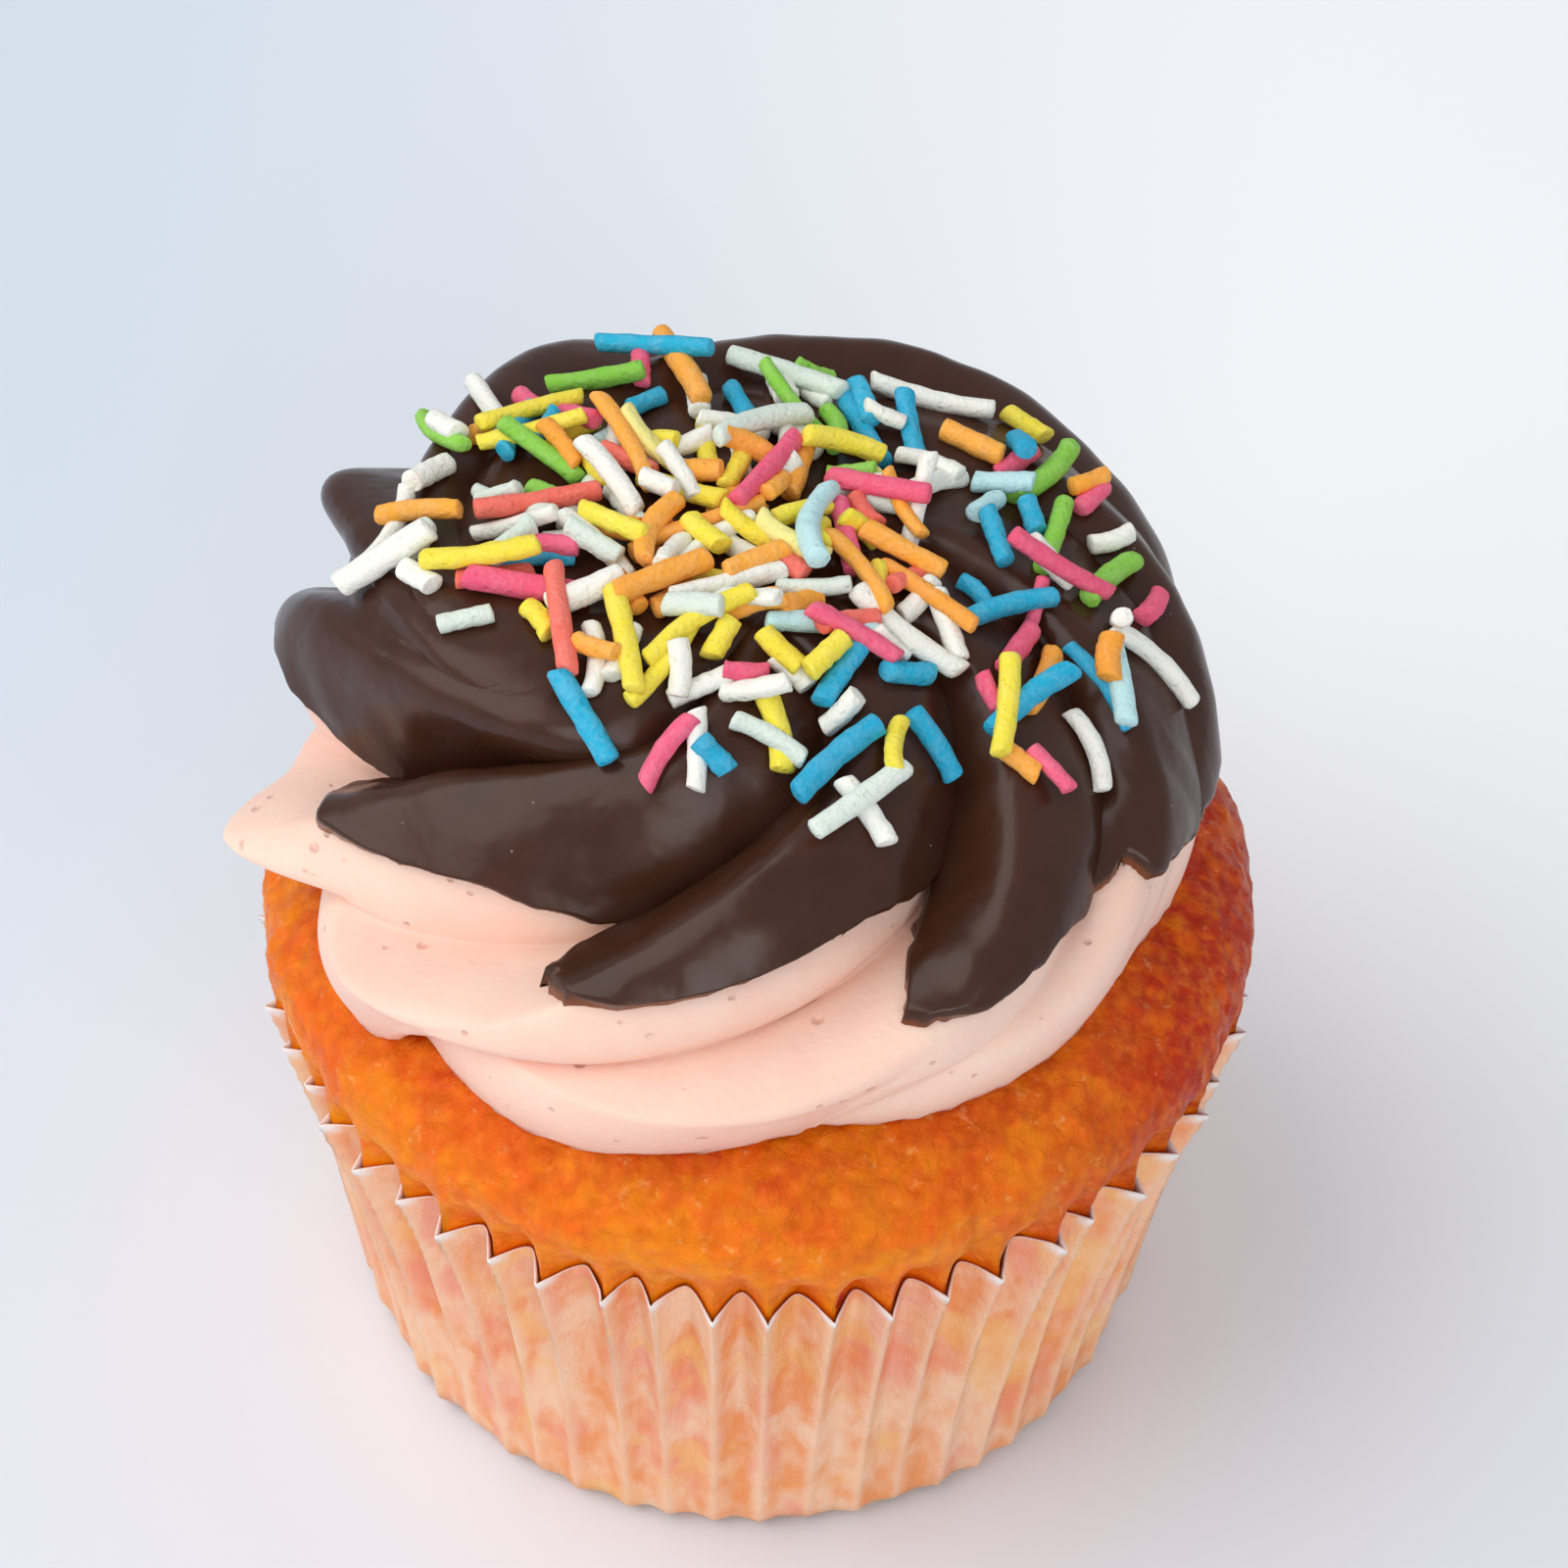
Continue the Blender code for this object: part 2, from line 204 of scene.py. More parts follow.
def buildMottleGroup():
    # two noises of unlike size, mixed: Fac swings softly from 0 to 1
    group, ins, outs = newGroup(
        "softMottle",
        [("Point", "NodeSocketVector", (0, 0, 0)), ("Coarse", "NodeSocketFloat", 100.0),
         ("Fine", "NodeSocketFloat", 600.0), ("Fine share", "NodeSocketFloat", 0.4)],
        [("Fac", "NodeSocketFloat")],
    )
    coarse = addNode(group, "ShaderNodeTexNoise", values={"Detail": 2.0, "Distortion": 0.6},
                     links={"Vector": ins.outputs["Point"], "Scale": ins.outputs["Coarse"]})
    fine = addNode(group, "ShaderNodeTexNoise", values={"Detail": 3.0, "Distortion": 0.3},
                   links={"Vector": ins.outputs["Point"], "Scale": ins.outputs["Fine"]})
    both = addNode(group, "ShaderNodeMix", data_type="FLOAT",
                   links={0: ins.outputs["Fine share"], 2: coarse.outputs[0], 3: fine.outputs[0]})
    group.links.new(stretch(group, both.outputs[0], 0.34, 0.66), outs.inputs["Fac"])
    return group


speckGroup = buildSpeckGroup()
mottleGroup = buildMottleGroup()


def specks(tree, point, perMetre, size, softness, share):
    made = addNode(tree, "ShaderNodeGroup", node_tree=speckGroup, links={"Point": point},
                   values={"Spacing per metre": perMetre, "Size": size, "Softness": softness,
                           "Share": share})
    return made.outputs["Mask"]


def mottle(tree, point, coarse, fine, fineShare):
    made = addNode(tree, "ShaderNodeGroup", node_tree=mottleGroup, links={"Point": point},
                   values={"Coarse": coarse, "Fine": fine, "Fine share": fineShare})
    return made.outputs["Fac"]


def newMaterial(name, roughness=0.5):
    material = bpy.data.materials.new(name)
    material.use_nodes = True
    tree = material.node_tree
    shader = tree.nodes["Principled BSDF"]
    shader.inputs["Roughness"].default_value = roughness
    return material, tree, shader


def bump(tree, shader, height, distance, strength=1.0):
    made = addNode(tree, "ShaderNodeBump", links={"Height": height},
                   values={"Distance": distance, "Strength": strength})
    tree.links.new(made.outputs[0], shader.inputs["Normal"])


def readMask(tree, name):
    return addNode(tree, "ShaderNodeAttribute", attribute_name=name).outputs["Fac"]


# camera

camera = {"lens": 135.0, "sensor": 36.0, "place": (0.00133, -0.2478, 0.3014), "pitchDown": 46.3, "roll": 1.84}


def makeCamera(setup):
    data = bpy.data.cameras.new("camera")
    data.lens = setup["lens"]
    data.sensor_width = setup["sensor"]
    data.clip_start = 0.01
    obj = bpy.data.objects.new("camera", data)
    bpy.context.scene.collection.objects.link(obj)
    tilt = Matrix.Rotation(math.radians(90 - setup["pitchDown"]), 4, "X")
    roll = Matrix.Rotation(math.radians(setup["roll"]), 4, "Z")
    obj.matrix_world = Matrix.Translation(setup["place"]) @ tilt @ roll
    bpy.context.scene.camera = obj


makeCamera(camera)
print("camera set")


# the piped swirl's form, shared by the buttercream and the chocolate on it

swirl = {
    "widest": 42.0 * mm,  # height of the widest ring
    "top": 56.5 * mm,
    "undercut": 0.9 * mm,
    "footLimit": 28.4 * mm,
    "footRise": -0.25,
    "curlEnd": 0.7,
    "curlPower": 4,
    "creaseSwing": 0.65,
    "sideRise": 0.3,
    "fadeRise": 0.4,
    "broadFall": 1.6,
    "steepFall": 1.2,
    "hornSpread": 2.2 * mm,
    "hornShare": 0.35,
    "gap": 0.3 * mm,
}

# The ridges, anticlockwise from the left: degrees, millimetres and shares.
# dips says how low the chocolate reaches: at the crest, on the broad face behind it,
# in the crease, and on the steep face before the next crest.
ridges = (
    dict(bearing=190, lean=22, curl=170, reach=28.8, slope=1.35, lowCrease=0.10, highCrease=0.84, lag=1.0,
         depth=6.5, footDepth=2.0, belly=1.9, fade=1.0, horn=4.2, hornZ=41.8, dips=(44.9, 47.0, 45.8, 45.4)),
    dict(bearing=225, lean=64, curl=160, reach=28.6, slope=1.35, lowCrease=0.05, highCrease=0.90, lag=1.8,
         depth=6.0, footDepth=1.8, belly=2.0, fade=0.95, horn=0.0, hornZ=42.5, dips=(46.6, 48.7, 47.0, 45.2)),
    dict(bearing=285, lean=78, curl=130, reach=25.6, slope=1.20, lowCrease=0.05, highCrease=0.93, lag=1.3,
         depth=3.2, footDepth=0.4, belly=0.8, fade=1.0, horn=0.0, hornZ=42.5, dips=(45.0, 45.6, 45.4, 46.2)),
    dict(bearing=334, lean=52, curl=150, reach=25.4, slope=0.90, lowCrease=0.20, highCrease=0.80, lag=1.0,
         depth=2.0, footDepth=0.3, belly=0.3, fade=1.0, horn=0.0, hornZ=42.5, dips=(44.9, 43.8, 43.2, 43.0)),
    dict(bearing=370, lean=60, curl=150, reach=26.9, slope=0.60, lowCrease=0.20, highCrease=0.75, lag=1.0,
         depth=2.2, footDepth=0.6, belly=0.6, fade=1.0, horn=0.0, hornZ=42.5, dips=(42.4, 42.6, 43.4, 43.4)),
    dict(bearing=405, lean=60, curl=150, reach=29.6, slope=0.43, lowCrease=0.20, highCrease=0.75, lag=1.0,
         depth=3.0, footDepth=1.5, belly=1.0, fade=1.0, horn=0.0, hornZ=42.5, dips=(42.5, 43.0, 44.6, 44.6)),
    dict(bearing=457, lean=58, curl=150, reach=30.2, slope=0.50, lowCrease=0.20, highCrease=0.75, lag=1.0,
         depth=3.0, footDepth=1.5, belly=1.0, fade=0.6, horn=1.9, hornZ=52.0, dips=(43.5, 44.0, 46.2, 46.2)),
    dict(bearing=500, lean=30, curl=125, reach=29.4, slope=0.60, lowCrease=0.20, highCrease=0.75, lag=1.0,
         depth=4.0, footDepth=1.5, belly=1.0, fade=0.5, horn=3.4, hornZ=51.0, dips=(45.5, 46.5, 47.5, 47.0)),
    dict(bearing=519, lean=24, curl=130, reach=31.1, slope=0.85, lowCrease=0.20, highCrease=0.85, lag=1.0,
         depth=7.0, footDepth=2.5, belly=0.6, fade=1.0, horn=0.0, hornZ=42.5, dips=(45.5, 45.4, 44.3, 44.4)),
)


def ridgeValue(key, index):
    return np.array([ridge[key] for ridge in ridges], dtype=float)[index % len(ridges)]


def between(index, key, share):
    return mix(ridgeValue(key, index), ridgeValue(key, index + 1), ease(share))


def crestBearing(index, rise):
    lean = ridgeValue("lean", index) * np.where(rise > 0, rise, rise / 2)
    curl = ridgeValue("curl", index) * np.minimum(rise, swirl["curlEnd"]) ** swirl["curlPower"]
    return ridgeValue("bearing", index) + 360 * (index // len(ridges)) + lean + curl


def shareAlong(index, along, rise):
    climb = ease((rise - swirl["footRise"]) / swirl["creaseSwing"]) ** ridgeValue("lag", index)
    crease = mix(ridgeValue("lowCrease", index), ridgeValue("highCrease", index), climb)
    return np.where(along < 1, crease * along, crease + (1 - crease) * (along - 1))


def crownHeight(radius):
    # the sponge's top under the swirl
    inside = np.clip(1 - (radius / dome["radius"]) ** dome["squareness"], 0, 1)
    return dome["widest"] + (dome["top"] - dome["widest"]) * inside ** (1 / dome["squareness"])


def swirlSurface(index, along, rise):
    # along is 0 at a crest, 1 at its crease and 2 at the next crest;
    # rise is footRise at the foot, 0 at the widest ring and 1 at the top
    share = shareAlong(index, along, rise)
    fall = np.where(along < 1, np.abs(along) ** swirl["broadFall"],
                    np.abs(2 - along) ** swirl["steepFall"])
    bearing = np.radians(mix(crestBearing(index, rise), crestBearing(index + 1, rise), share))
    slope = between(index, "slope", share)
    tilt = np.radians(90) * np.maximum(0, rise)
    sink = np.maximum(0, rise / swirl["footRise"])
    bulge = np.sin(np.pi * (along - 1)) * (1 - ease(rise / swirl["sideRise"])) * (along > 1)
    reach = (between(index, "reach", share) + ridgeValue("belly", index) * bulge) * mm
    undercut = np.maximum(swirl["undercut"], reach - swirl["footLimit"])
    radius = reach * np.cos(tilt) ** slope - undercut * sink**2
    height = swirl["widest"] + (swirl["top"] - swirl["widest"]) * np.sin(tilt) ** slope
    depth = mix(ridgeValue("footDepth", index), ridgeValue("depth", index),
                ease(rise / swirl["sideRise"]))
    fadeEnd = ridgeValue("fade", index)
    fadeStart = swirl["fadeRise"] * fadeEnd
    depth = depth * (1 - ease((rise - fadeStart) / (fadeEnd - fadeStart))) * mm * fall
    radius = np.maximum(0, radius - depth * np.cos(tilt))
    height = height + (crownHeight(radius) + swirl["gap"] - swirl["widest"]) * sink
    height = height - depth * np.sin(tilt)
    for near, ridge in ((share, index), (1 - share, index + 1)):
        lift = (height - ridgeValue("hornZ", ridge) * mm) / swirl["hornSpread"]
        horn = ridgeValue("horn", ridge) * mm * np.exp(-(lift**2))
        radius = radius + horn * (1 - ease(near / swirl["hornShare"])) * (1 - sink)
    return np.stack([radius * np.cos(bearing), radius * np.sin(bearing), height], axis=-1)


def swirlColumns(broad, steep):
    alongs = np.concatenate([np.arange(broad) / broad, 1 + np.arange(steep) / steep])
    index = np.repeat(np.arange(len(ridges)), len(alongs))
    return index, np.tile(alongs, len(ridges))


# sponge

dome = {
    "radius": spongeHigh.x,
    "widest": 31.6 * mm,
    "top": spongeHigh.z,
    "squareness": 2.6,
}

case = {
    "footRadius": 25.4 * mm,
    "rimRadius": caseHigh.x,
    "height": 28.4 * mm,
    "flare": 2.0 * mm,
    "pleats": 54,
    "footDepth": 0.7 * mm,
    "rimDepth": 2.4 * mm,
    "sharpness": 1.5,
    "paper": 0.12 * mm,
    "columnsPerPleat": 18,
    "rows": 70,
    "seed": 3,
}


def caseRadii(bearing, share):
    # outward folds, inward troughs and where between them a bearing lies: 1 on a fold, 0 in a trough
    rng = np.random.default_rng(case["seed"])
    count = case["pleats"]
    strength = rng.uniform(0.75, 1.15, count + 1)
    fadeLow = rng.uniform(0.15, 1.0, count + 1)
    drift = rng.uniform(-0.16, 0.16, (count + 1, 2))
    for table in (strength, fadeLow):
        table[count] = table[0]
    turn = (bearing / (2 * np.pi) * count) % count
    wobble = np.interp(turn, np.arange(count + 1), np.append(drift[:count, 0], drift[0, 0]))
    wobbleLow = np.interp(turn, np.arange(count + 1), np.append(drift[:count, 1], drift[0, 1]))
    turn = (turn + mix(wobbleLow, wobble, share)) % count
    nearest = np.round(turn).astype(int) % count
    away = np.abs(turn - np.round(turn)) * 2
    fold = (1 - away) ** case["sharpness"]
    depth = mix(case["footDepth"], case["rimDepth"], share ** 1.3)
    depth = depth * strength[nearest] * mix(fadeLow[nearest], 1.0, ease(share * 1.6))
    out = case["footRadius"] + (case["rimRadius"] - case["flare"] - case["footRadius"]) * share
    out = out + case["flare"] * share**3
    return out, depth, fold


def caseRadius(bearing, share):
    out, depth, fold = caseRadii(bearing, share)
    trough = out - mix(case["footDepth"], case["rimDepth"], share ** 1.3)
    return trough + depth * fold


paperLook = {
    "light": (0.93, 0.60, 0.40),
    "stain": (0.88, 0.30, 0.08),
    "pink": (0.88, 0.25, 0.17),
    "yellow": (0.93, 0.52, 0.16),
    "dry": (0.90, 0.86, 0.84),
    "footBrown": (0.42, 0.22, 0.09),
}


def paperMaterial():
    material, tree, shader = newMaterial("greasedPaper", 0.5)
    point = objectPoint(tree)
    fold, share = readMask(tree, "fold"), readMask(tree, "share")
    tall = addNode(tree, "ShaderNodeMapping", links={"Vector": point}, values={"Scale": (1, 1, 0.5)})
    colour = mixColour(tree, mottle(tree, tall.outputs[0], 260.0, 900.0, 0.35),
                       paperLook["light"], paperLook["stain"])
    pinkSpots = mottle(tree, tall.outputs[0], 170.0, 500.0, 0.3)
    colour = mixColour(tree, stretch(tree, pinkSpots, 0.5, 1.0, 0.0, 0.55), colour, paperLook["pink"])
    shifted = addNode(tree, "ShaderNodeMapping", links={"Vector": point}, values={"Location": (0.3, 0.1, 0.2)})
    yellowSpots = mottle(tree, shifted.outputs[0], 130.0, 420.0, 0.3)
    colour = mixColour(tree, stretch(tree, yellowSpots, 0.55, 1.0, 0.0, 0.6), colour, paperLook["yellow"])
    standing = stretch(tree, fold, 0.40, 0.98, 0.0, 0.60)
    colour = mixColour(tree, standing, colour, paperLook["light"])
    dryEdge = mathNode(tree, "MULTIPLY", stretch(tree, share, 0.955, 0.995), stretch(tree, fold, 0.3, 0.8))
    colour = mixColour(tree, dryEdge, colour, paperLook["dry"])
    # darker brown towards the foot of the case, mottled
    footDarkening = mathNode(tree, "MULTIPLY", stretch(tree, share, 0.09, 0.0),
                      mottle(tree, point, 300.0, 900.0, 0.4))
    colour = mixColour(tree, mathNode(tree, "MULTIPLY", footDarkening, 0.8), colour, paperLook["footBrown"])
    tree.links.new(colour, shader.inputs["Base Color"])
    fibres = addNode(tree, "ShaderNodeTexNoise", links={"Vector": tall.outputs[0]},
                     values={"Scale": 1100.0, "Detail": 5.0, "Roughness": 0.65})
    bump(tree, shader, fibres.outputs[0], 0.00030, 0.8)
    return material


def dryPaperMaterial():
    material, tree, shader = newMaterial("dryPaper", 0.7)
    point = objectPoint(tree)
    colour = mixColour(tree, mottle(tree, point, 300.0, 1200.0, 0.5), (0.86, 0.80, 0.77), paperLook["dry"])
    tree.links.new(colour, shader.inputs["Base Color"])
    return material


def makeCase():
    columns = case["pleats"] * case["columnsPerPleat"]
    bearing = 2 * np.pi * np.arange(columns) / columns
    shares = np.linspace(0, 1, case["rows"])
    rows = []
    folds = []
    for share in shares:
        radius = caseRadius(bearing, share)
        _, _, fold = caseRadii(bearing, share)
        # the wall turns under into the foot over its lowest stretch
        tuck = (1 - min(1.0, share / 0.05)) ** 2
        radius = radius - 0.9 * mm * tuck
        crinkle = 0.06 * mm * np.sin(share * 120 + 2.0 * np.cos(bearing * case["pleats"])) * ease((share - 0.55) / 0.4)
        radius = radius + crinkle
        rise = share * case["height"] + 0.25 * mm * (share**8) * np.sin(bearing * 7 + 1.3)
        rows.append(np.stack([radius * np.cos(bearing), radius * np.sin(bearing),
                              np.broadcast_to(rise, bearing.shape)], axis=-1))
        folds.append(fold)
    wall = np.array(rows)
    disc = [wall[0] * np.array([k, k, 0.0]) for k in (0.3, 0.6, 0.85, 0.96)]
    grid = np.concatenate([np.array(disc), wall])
    points = np.concatenate([grid.reshape(-1, 3), [[0, 0, 0]]])
    faces = gridFaces(len(grid), columns)
    hub = len(points) - 1
    faces += [((c + 1) % columns, c, hub) for c in range(columns)]
    piece = newPiece("pleatedCase", points, faces, [paperMaterial(), dryPaperMaterial()],
                     "paper_case")
    foldMask = np.concatenate([np.zeros((len(disc), columns)), np.array(folds)])
    shareMask = np.concatenate([np.zeros(len(disc)), shares])[:, None] * np.ones(columns)
    addMask(piece, "fold", np.append(foldMask.ravel(), 0))
    addMask(piece, "share", np.append(shareMask.ravel(), 0))
    skin = piece.modifiers.new("thickness", "SOLIDIFY")
    skin.thickness = case["paper"]
    skin.offset = -1
    skin.material_offset = 1
    skin.material_offset_rim = 1
    return piece


makeCase()
print("paper case made")

sponge = {
    "columns": 648,
    "domeRows": 110,
    "sideRows": 26,
    "sideDepth": 0.55,  # how far down the case the sponge is modelled finely
    "rimShare": 0.952,  # it leaves the paper just below the rim
    "crumb": 0.20 * mm,
    "lumps": 0.42 * mm,
    "colours": {"yellow": (1.0, 0.30, 0.001), "orange": (0.95, 0.155, 0.001), "red": (0.52, 0.026, 0.001),
                "paintedGlint": (0.98, 0.52, 0.18), "berry": (0.55, 0.01, 0.005)},
}


def spongeMaterial():
    look = sponge["colours"]
    material, tree, shader = newMaterial("moistSponge", 0.42)
    shader.inputs["Specular IOR Level"].default_value = 0.20
    point = objectPoint(tree)
    soft = mottle(tree, point, 150.0, 700.0, 0.45)
    colour = mixColour(tree, soft, look["yellow"], look["orange"])
    parts = addNode(tree, "ShaderNodeSeparateXYZ", links={"Vector": point})
    # redder towards the top, where the cream's edge shades it, and on the right: partly the sponge's own colour,
    # partly painted shade
    high = stretch(tree, parts.outputs["Z"], 0.031, 0.040)
    right = stretch(tree, parts.outputs["X"], 0.008, 0.030)
    dark = mathNode(tree, "MAXIMUM", mathNode(tree, "MULTIPLY", high, 0.75), right)
    patch = mottle(tree, point, 330.0, 1100.0, 0.5)
    dark = mathNode(tree, "MULTIPLY", dark, mathNode(tree, "MULTIPLY_ADD", patch, 0.7))
    colour = mixColour(tree, dark, colour, look["red"])
    # pale peach specks painted on as painted highlights: the small glints of the crumb
    glintNoise = addNode(tree, "ShaderNodeTexNoise", links={"Vector": point},
                         values={"Scale": 1000.0, "Detail": 4.0, "Roughness": 0.65})
    paintedGlints = stretch(tree, glintNoise.outputs[0], 0.60, 0.70)
    colour = mixColour(tree, mathNode(tree, "MULTIPLY", paintedGlints, 0.30), colour, look["paintedGlint"])
    berries = specks(tree, point, 190.0, 0.16, 0.05, 0.10)
    colour = mixColour(tree, berries, colour, look["berry"])
    tree.links.new(colour, shader.inputs["Base Color"])
    wet = mottle(tree, point, 420.0, 1500.0, 0.5)
    tree.links.new(stretch(tree, wet, 0.0, 1.0, 0.18, 0.50), shader.inputs["Roughness"])
    crumb = addNode(tree, "ShaderNodeTexNoise", links={"Vector": point},
                    values={"Scale": 750.0, "Detail": 6.0, "Roughness": 0.68, "Distortion": 0.8})
    bump(tree, shader, crumb.outputs[0], 0.0005, 0.9)
    return material


def makeSponge():
    columns = sponge["columns"]
    bearing = 2 * np.pi * np.arange(columns) / columns
    rows = []
    # from below, up the side inside the paper, then over the dome to its middle
    for step in range(sponge["sideRows"]):
        share = mix(1 - sponge["sideDepth"], sponge["rimShare"], step / (sponge["sideRows"] - 1))
        radius = caseRadius(bearing, share) - 0.16 * mm
        _, depth, fold = caseRadii(bearing, share)
        radius = radius - 0.06 * depth * ease((fold - 0.3) / 0.7)
        rows.append((radius, share * case["height"] + 0 * bearing))
    edge = rows[-1][0]
    for step in range(sponge["domeRows"]):
        turn = step / (sponge["domeRows"] - 1)
        angle = np.radians(90) * (1 - turn)
        radius = dome["radius"] * np.sin(angle) ** (2 / dome["squareness"])
        height = crownHeight(np.array(min(radius, dome["radius"] * 0.99999)))
        wide = mix(edge, radius, ease((turn - 0.018) / 0.06))
        low = case["height"] * sponge["rimShare"] + turn * 40 * mm
        rows.append((wide, mix(low, height, ease(turn / 0.12)) + 0 * bearing))
    grid = np.array([np.stack([r * np.cos(bearing), r * np.sin(bearing), z], axis=-1) for r, z in rows])
    bed = np.stack([edge * 0 + 24 * mm * np.cos(bearing), edge * 0 + 24 * mm * np.sin(bearing), 0 * bearing + 1 * mm], axis=-1)
    grid = np.concatenate([bed[None], grid])
    normals = gridNormals(grid)
    fade = np.concatenate([np.zeros(sponge["sideRows"] + 1), ease(np.arange(sponge["domeRows"]) / 9)])
    relief = sponge["lumps"] * noiseAt(grid, 4.5 * mm, 1.0, 1) + sponge["crumb"] * noiseAt(grid, 1.1 * mm, 2.0, 2)
    grid = grid + normals * (relief * fade[:, None])[..., None]
    grid[-1] = grid[-1].mean(axis=0)
    points = np.concatenate([grid.reshape(-1, 3), [grid[-1, 0]], [[0, 0, 1 * mm]]])
    faces = gridFaces(len(grid) - 1, columns)
    top, foot = len(points) - 2, len(points) - 1
    last = (len(grid) - 2) * columns
    faces += [(last + c, last + (c + 1) % columns, top) for c in range(columns)]
    faces += [((c + 1) % columns, c, foot) for c in range(columns)]
    points = np.delete(points, np.s_[(len(grid) - 1) * columns:len(grid) * columns], axis=0)
    faces = [tuple(i - columns if i >= len(grid) * columns else i for i in face) for face in faces]
    return newPiece("bakedSponge", points, faces, [spongeMaterial()], "sponge")


makeSponge()
print("sponge made")


# buttercream

cream = {
    "broad": 52,
    "steep": 28,
    "footRows": 12,
    "sideRows": 118,
    "soften": 2,
    "waves": 0.18 * mm,
    "raggedFoot": 0.22 * mm,
    "colour": (0.95, 0.67, 0.55),
    "deep": (0.92, 0.42, 0.34),
}


def creamMaterial():
    material, tree, shader = newMaterial("pinkButtercream", 0.5)
    point = objectPoint(tree)
    soft = mottle(tree, point, 90.0, 500.0, 0.25)
    colour = mixColour(tree, mathNode(tree, "MULTIPLY", soft, 0.25), cream["colour"], cream["deep"])
    long = addNode(tree, "ShaderNodeMapping", links={"Vector": point}, values={"Scale": (0.7, 0.7, 1.3)})
    # small pits, painted deeper pink as painted shade inside them, and pressed in by the bump below
    pits = mathNode(tree, "MAXIMUM", specks(tree, long.outputs[0], 420.0, 0.13, 0.10, 0.25),
                    specks(tree, long.outputs[0], 1100.0, 0.20, 0.16, 0.12))
    colour = mixColour(tree, mathNode(tree, "MULTIPLY", pits, 0.30), colour, cream["deep"])
    tree.links.new(colour, shader.inputs["Base Color"])
    shader.inputs["Subsurface Weight"].default_value = 0.35
    shader.inputs["Subsurface Radius"].default_value = (1.0, 0.45, 0.3)
    shader.inputs["Subsurface Scale"].default_value = 0.002
    grain = addNode(tree, "ShaderNodeTexNoise", links={"Vector": point}, values={"Scale": 1700.0, "Detail": 3.0})
    height = mathNode(tree, "SUBTRACT", mathNode(tree, "MULTIPLY", grain.outputs[0], 0.25), pits)
    bump(tree, shader, height, 0.00030, 0.8)
    return material


def riseSteps():
    foot = swirl["footRise"] * (1 - np.arange(cream["footRows"]) / cream["footRows"])
    return np.concatenate([foot, np.arange(cream["sideRows"]) / cream["sideRows"]])


def makeCream():
    index, along = swirlColumns(cream["broad"], cream["steep"])
    rises = riseSteps()
    grid = swirlSurface(index[None, :], along[None, :], rises[:, None])
    grid = smoothGrid(grid, cream["soften"], keepFirst=False)
    normals = gridNormals(grid)
    waves = cream["waves"] * noiseAt(grid, 6 * mm, 4.0, 1)
    teeth = cream["raggedFoot"] * noiseAt(grid, 0.8 * mm, 5.0, 2)
    nearFoot = 1 - ease((rises - swirl["footRise"]) / 0.10)
    grid = grid + normals * (waves + teeth * nearFoot[:, None])[..., None]
    columns = grid.shape[1]
    soles = [grid[0] * np.array([k, k, 0]) for k in (0.4, 0.7, 0.9)]
    for sole in soles:
        sole[:, 2] = crownHeight(np.linalg.norm(sole[:, :2], axis=1)) + swirl["gap"]
    full = np.concatenate([np.array(soles), grid])
    points = np.concatenate([full.reshape(-1, 3), [[0, 0, swirl["top"]], [0, 0, dome["top"] + swirl["gap"]]]])
    faces = gridFaces(len(full), columns)
    last = (len(full) - 1) * columns
    top, foot = len(points) - 2, len(points) - 1
    faces += [(last + c, last + (c + 1) % columns, top) for c in range(columns)]
    faces += [((c + 1) % columns, c, foot) for c in range(columns)]
    return newPiece("pipedButtercream", points, faces, [creamMaterial()], "buttercream_swirl")


creamPiece = makeCream()
print("buttercream made")


# chocolate

coat = {
    "broad": 52,
    "steep": 28,
    "rows": 110,
    "thickness": 1.15 * mm,
    "lip": 0.9 * mm,  # the edge rounds off over this width
    "soften": 9,
    "ragged": 0.30 * mm,
    "waves": 0.26 * mm,
    "colour": (0.058, 0.0195, 0.0100),
    "warm": (0.20, 0.055, 0.016),
}


def chocolateMaterial():
    material, tree, shader = newMaterial("setChocolate", 0.36)
    shader.inputs["Specular IOR Level"].default_value = 0.31
    point = objectPoint(tree)
    soft = mottle(tree, point, 120.0, 600.0, 0.3)
    dark = tuple(0.8 * c for c in coat["colour"])
    colour = mixColour(tree, soft, dark, coat["colour"])
    edge = readMask(tree, "edge")
    colour = mixColour(tree, stretch(tree, edge, 0.35, 1.0), colour, coat["warm"])
    dust = specks(tree, point, 900.0, 0.07, 0.03, 0.10)
    colour = mixColour(tree, mathNode(tree, "MULTIPLY", dust, 0.6), colour, (0.5, 0.42, 0.38))
    tree.links.new(colour, shader.inputs["Base Color"])
    tree.links.new(stretch(tree, soft, 0.0, 1.0, 0.21, 0.30), shader.inputs["Roughness"])
    ripple = addNode(tree, "ShaderNodeTexNoise", links={"Vector": point}, values={"Scale": 350.0, "Detail": 2.0})
    bump(tree, shader, ripple.outputs[0], 0.00025, 0.5)
    return material


def dipLevel(index, along):
    # the height of the dip line on each column, eased from one stated height to the next
    stops = np.array([ridge["dips"] for ridge in ridges])
    stop = np.floor(along * 2).astype(int)
    here = stops[index % len(ridges), stop]
    following = np.where(stop == 3, stops[(index + 1) % len(ridges), 0],
                         stops[index % len(ridges), np.minimum(stop + 1, 3)])
    return mix(here, following, ease(along * 2 - stop)) * mm


def dipRises(index, along):
    # where each column of the swirl crosses the line up to which it was dipped
    low = np.full(index.shape, swirl["footRise"])
    high = np.ones(index.shape)
    for _ in range(24):
        rise = (low + high) / 2
        point = swirlSurface(index, along, rise)
        level = dipLevel(index, along) + coat["ragged"] * noiseAt(point, 1.3 * mm, 6.0, 3)
        below = point[:, 2] < level
        low, high = np.where(below, rise, low), np.where(below, high, rise)
    return high


